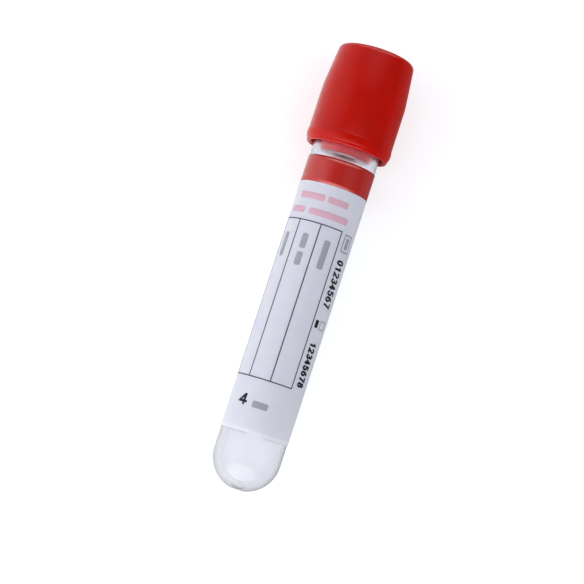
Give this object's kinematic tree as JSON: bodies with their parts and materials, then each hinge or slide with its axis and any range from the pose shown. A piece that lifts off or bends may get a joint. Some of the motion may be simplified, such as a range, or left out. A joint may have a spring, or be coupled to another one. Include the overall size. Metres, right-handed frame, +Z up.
{
  "type": "blood collection tube",
  "caption": "Clear round-ended blood collection tube with a wrap label, closed by a rubber stopper in a red safety cap that pulls off.",
  "frame": {"origin": "on the surface the tube lies on, under the middle of its bounding box", "axes": "+Y along the tube from its round end to its cap, +Z up, out of the middle of the label, +X to the right of the label"},
  "size_m": [0.0168, 0.0874, 0.0169],
  "materials": {
    "clear_pet": "clear, polished by the mould",
    "red_rubber": "moulded, satin",
    "red_polyethylene": "moulded, semi-gloss",
    "label_film": "printed film, semi-matt"
  },
  "bodies": {
    "barrel": {"tube": "clear_pet", "label": "label_film"},
    "closure": {"safety_cap": "red_polyethylene", "stopper": "red_rubber"}
  },
  "joints": [
    {"name": "closure_pull_off", "type": "slide", "parent": "barrel", "child": "closure", "axis": [0, 0.9996, 0.0299], "range_m": [0, 0.016]}
  ]
}
